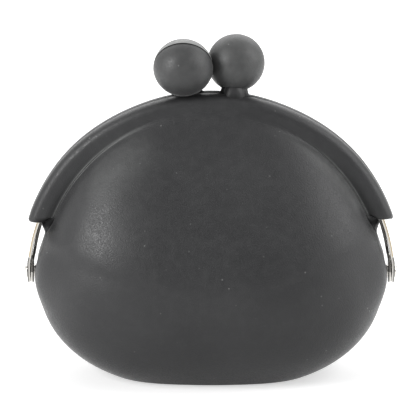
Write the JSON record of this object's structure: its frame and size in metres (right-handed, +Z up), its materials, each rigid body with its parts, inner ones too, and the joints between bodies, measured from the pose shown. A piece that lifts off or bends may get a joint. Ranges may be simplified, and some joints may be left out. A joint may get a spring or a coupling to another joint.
{
  "type": "squeeze coin purse",
  "caption": "Soft silicone coin purse with an arched, sleeved kiss-lock frame: two halves hinge apart at riveted ends and snap shut as ball heads cross.",
  "frame": {"origin": "under the middle of the bag, on the surface it stands on", "axes": "+X along the mouth to the right, +Y from the front half to the back half, +Z up"},
  "size_m": [0.105, 0.059, 0.0963],
  "materials": {
    "silicone": "matt moulded silicone, slightly powdery",
    "nickel_steel": "polished nickel plate",
    "core_plastic": "bare moulded plastic, hidden"
  },
  "bodies": {
    "pouch": {"pouch": "silicone", "left_rivet": "nickel_steel", "right_rivet": "nickel_steel"},
    "front_half": {"front_lip": "silicone", "front_frame": "nickel_steel", "front_ball_stud": "nickel_steel", "front_ball_core": "core_plastic", "front_ball_cover": "silicone"},
    "back_half": {"back_lip": "silicone", "back_frame": "nickel_steel", "back_ball_stud": "nickel_steel", "back_ball_core": "core_plastic", "back_ball_cover": "silicone"}
  },
  "joints": [
    {"name": "front_opening", "type": "hinge", "parent": "pouch", "child": "front_half", "pos_m": [0, 0, 0.029], "axis": [1, 0, 0], "range_deg": [0, 45], "deforming": ["pouch", "front_ball_cover", "back_ball_cover"]},
    {"name": "back_opening", "type": "hinge", "parent": "pouch", "child": "back_half", "pos_m": [0, 0, 0.029], "axis": [1, 0, 0], "range_deg": [-45, 0]}
  ],
  "couplings": [
    {"joint": "back_opening", "follows": "front_opening", "ratio": -1}
  ]
}
